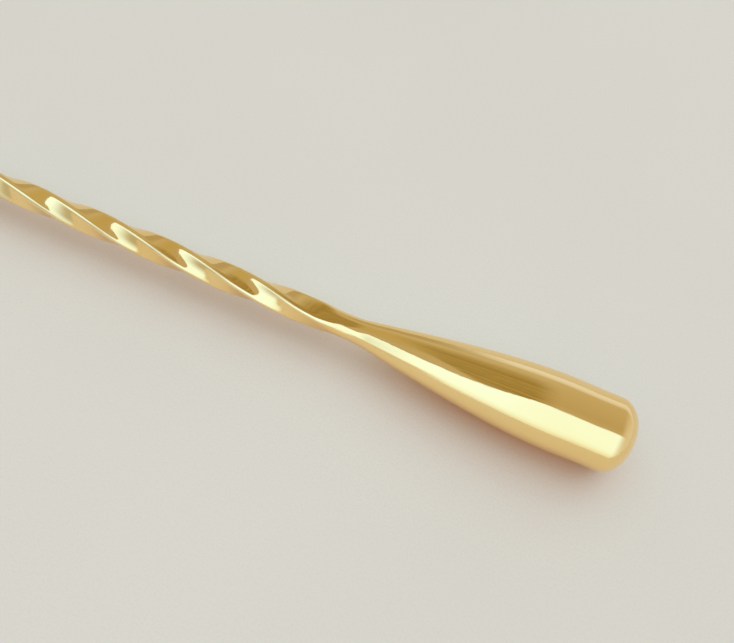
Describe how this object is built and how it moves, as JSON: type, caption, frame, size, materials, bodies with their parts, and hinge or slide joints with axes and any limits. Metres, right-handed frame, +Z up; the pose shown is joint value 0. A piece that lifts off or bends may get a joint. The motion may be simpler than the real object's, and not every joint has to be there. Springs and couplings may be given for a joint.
{
  "type": "bar spoon",
  "caption": "Long cocktail stirring spoon: small oval bowl, right-handed twisted square shaft and a solid teardrop weight at the other end.",
  "frame": {"origin": "on the surface that the spoon lies on, midway along its length, under the shaft's axis", "axes": "+X along the shaft towards the teardrop weight's end, +Z up out of the bowl's open side"},
  "size_m": [0.3, 0.0246, 0.0126],
  "materials": {
    "gold_plate": "mirror-polished gold-coloured plating on stainless steel",
    "braze": "solidified brazing filler, ground flush and plated over"
  },
  "bodies": {
    "root": {"bowl": "gold_plate", "bowl_braze": "braze", "twisted_shaft": "gold_plate", "drop_braze": "braze", "teardrop_weight": "gold_plate"}
  },
  "joints": []
}
